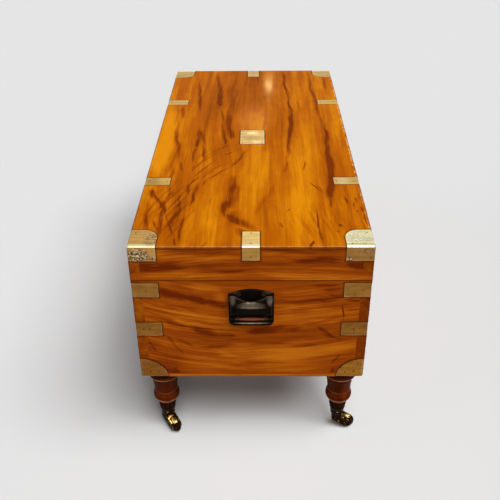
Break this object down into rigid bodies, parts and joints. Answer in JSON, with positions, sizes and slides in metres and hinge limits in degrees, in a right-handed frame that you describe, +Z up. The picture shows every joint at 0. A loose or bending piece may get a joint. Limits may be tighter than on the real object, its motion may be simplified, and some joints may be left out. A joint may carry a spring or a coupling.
{
  "type": "camphor wood trunk",
  "caption": "Brass-bound camphor wood trunk with a hinged lid, iron carrying handles and turned legs on swivel castors.",
  "frame": {"origin": "on the floor under the middle of the case", "axes": "+X along the case towards its right end, +Y towards the hinged back, +Z up; the lock faces -Y"},
  "size_m": [1.044, 0.4696, 0.5022],
  "materials": {
    "camphor_lid": "polished amber camphor wood with dark figure along the length",
    "camphor_sides": "polished red-brown camphor wood",
    "turned_legs": "dark red-brown polished turned hardwood",
    "lid_brass": "pale worn brass, scratched",
    "base_brass": "dull aged brass",
    "brass_pins": "dark aged brass pin heads",
    "castor_brass": "dark patinated brass, bright where rubbed",
    "black_iron": "glossy black japanned cast iron",
    "hinge_brass": "aged brass",
    "lock_brass": "brass, lightly tarnished"
  },
  "bodies": {
    "base": {"base_front_board": "camphor_sides", "base_back_board": "camphor_sides", "base_right_end_board": "camphor_sides", "base_left_end_board": "camphor_sides", "base_bottom_planks": "camphor_sides", "leg_front_right": "turned_legs", "leg_back_right": "turned_legs", "leg_front_left": "turned_legs", "leg_back_left": "turned_legs", "castor_cups": "castor_brass", "castor_cup_screws": "castor_brass", "base_corner_front_right": "base_brass", "base_corner_back_right": "base_brass", "base_corner_front_left": "base_brass", "base_corner_back_left": "base_brass", "base_upper_straps": "base_brass", "base_middle_straps": "base_brass", "base_brass_pins": "brass_pins", "handle_plate_right": "black_iron", "handle_plate_left": "black_iron", "handle_screws": "black_iron", "hinge_leaves_base": "hinge_brass", "hinge_pins": "hinge_brass", "hinge_screws_base": "hinge_brass", "lock_case": "lock_brass", "lock_cap": "lock_brass", "lock_screws": "lock_brass", "lock_escutcheon": "base_brass"},
    "lid": {"lid_front_board": "camphor_sides", "lid_back_board": "camphor_sides", "lid_right_end_board": "camphor_sides", "lid_left_end_board": "camphor_sides", "lid_top_board": "camphor_lid", "lid_corner_front_right": "lid_brass", "lid_corner_back_right": "lid_brass", "lid_corner_front_left": "lid_brass", "lid_corner_back_left": "lid_brass", "lid_side_straps": "lid_brass", "lid_end_straps": "lid_brass", "lid_centre_plate": "lid_brass", "lid_brass_pins": "brass_pins", "hinge_leaves_lid": "hinge_brass", "hinge_screws_lid": "hinge_brass", "lock_link_plate": "lock_brass", "lock_link_screws": "lock_brass"},
    "bolt": {"lock_bolt": "lock_brass"},
    "bail_right": {"handle_bail_right": "black_iron"},
    "bail_left": {"handle_bail_left": "black_iron"},
    "swivel_front_right": {"castor_horn_front_right": "castor_brass", "castor_axle_front_right": "castor_brass"},
    "wheel_front_right": {"castor_wheel_front_right": "castor_brass"},
    "swivel_back_right": {"castor_horn_back_right": "castor_brass", "castor_axle_back_right": "castor_brass"},
    "wheel_back_right": {"castor_wheel_back_right": "castor_brass"},
    "swivel_front_left": {"castor_horn_front_left": "castor_brass", "castor_axle_front_left": "castor_brass"},
    "wheel_front_left": {"castor_wheel_front_left": "castor_brass"},
    "swivel_back_left": {"castor_horn_back_left": "castor_brass", "castor_axle_back_left": "castor_brass"},
    "wheel_back_left": {"castor_wheel_back_left": "castor_brass"}
  },
  "joints": [
    {"name": "lid_hinge", "type": "hinge", "parent": "base", "child": "lid", "pos_m": [0, 0.2349, 0.42575], "axis": [-1, 0, 0], "range_deg": [0, 100]},
    {"name": "bolt_slide", "type": "slide", "parent": "base", "child": "bolt", "axis": [1, 0, 0], "range_m": [0, 0.009]},
    {"name": "bail_right_swing", "type": "hinge", "parent": "base", "child": "bail_right", "pos_m": [0.513, 0, 0.3915], "axis": [0, -1, 0], "range_deg": [0, 90]},
    {"name": "bail_left_swing", "type": "hinge", "parent": "base", "child": "bail_left", "pos_m": [-0.513, 0, 0.3915], "axis": [0, 1, 0], "range_deg": [0, 90]},
    {"name": "swivel_front_right_turn", "type": "hinge", "parent": "base", "child": "swivel_front_right", "pos_m": [0.458, -0.188, 0.041], "axis": [0, 0, 1], "continuous": true},
    {"name": "wheel_front_right_spin", "type": "hinge", "parent": "swivel_front_right", "child": "wheel_front_right", "pos_m": [0.47435, -0.17328, 0.017], "axis": [-0.6691, 0.7431, 0], "continuous": true},
    {"name": "swivel_back_right_turn", "type": "hinge", "parent": "base", "child": "swivel_back_right", "pos_m": [0.458, 0.188, 0.041], "axis": [0, 0, 1], "continuous": true},
    {"name": "wheel_back_right_spin", "type": "hinge", "parent": "swivel_back_right", "child": "wheel_back_right", "pos_m": [0.4603, 0.20988, 0.017], "axis": [-0.9945, 0.1045, 0], "continuous": true},
    {"name": "swivel_front_left_turn", "type": "hinge", "parent": "base", "child": "swivel_front_left", "pos_m": [-0.458, -0.188, 0.041], "axis": [0, 0, 1], "continuous": true},
    {"name": "wheel_front_left_spin", "type": "hinge", "parent": "swivel_front_left", "child": "wheel_front_left", "pos_m": [-0.47794, -0.1973, 0.017], "axis": [0.4226, -0.9063, 0], "continuous": true},
    {"name": "swivel_back_left_turn", "type": "hinge", "parent": "base", "child": "swivel_back_left", "pos_m": [-0.458, 0.188, 0.041], "axis": [0, 0, 1], "continuous": true},
    {"name": "wheel_back_left_spin", "type": "hinge", "parent": "swivel_back_left", "child": "wheel_back_left", "pos_m": [-0.47485, 0.20214, 0.017], "axis": [-0.6428, -0.766, 0], "continuous": true}
  ]
}
